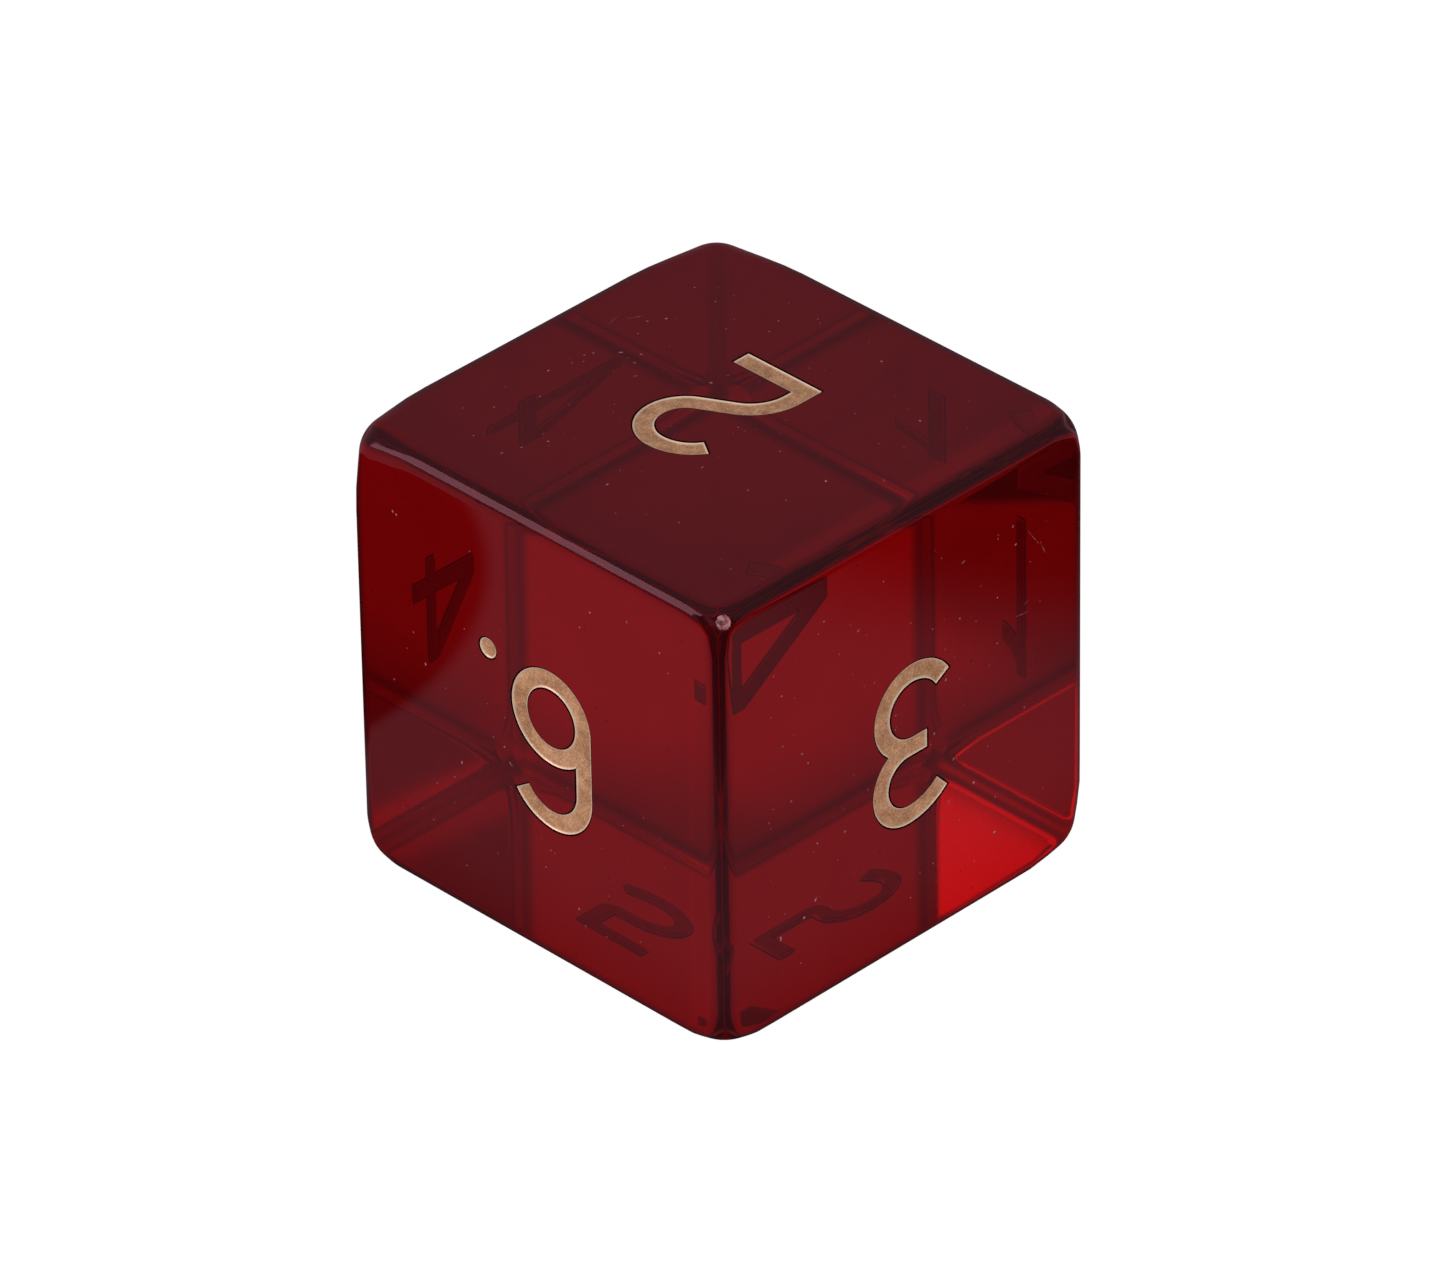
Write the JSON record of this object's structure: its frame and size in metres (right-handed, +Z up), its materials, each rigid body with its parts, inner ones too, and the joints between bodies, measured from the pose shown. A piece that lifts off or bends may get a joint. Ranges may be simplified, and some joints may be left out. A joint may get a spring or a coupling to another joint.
{
  "type": "numbered six-sided die",
  "caption": "Translucent cube-shaped gaming die with rounded edges, an engraved numeral on every face and metallic paint in the engravings.",
  "frame": {"origin": "middle of the bottom face, on the surface the die rests on", "axes": "+Z up through the face numbered 2, -Y out of the face numbered 6, +X out of the face numbered 3"},
  "size_m": [0.016, 0.016, 0.016],
  "materials": {
    "resin": "polished clear cast resin, dyed deep red all through",
    "gold_paint": "old-gold metallic paint, fine flake, satin"
  },
  "bodies": {
    "root": {"die_body": "resin", "numeral_1_paint": "gold_paint", "numeral_2_paint": "gold_paint", "numeral_3_paint": "gold_paint", "numeral_4_paint": "gold_paint", "numeral_5_paint": "gold_paint", "numeral_6_paint": "gold_paint", "six_dot_paint": "gold_paint"}
  },
  "joints": []
}
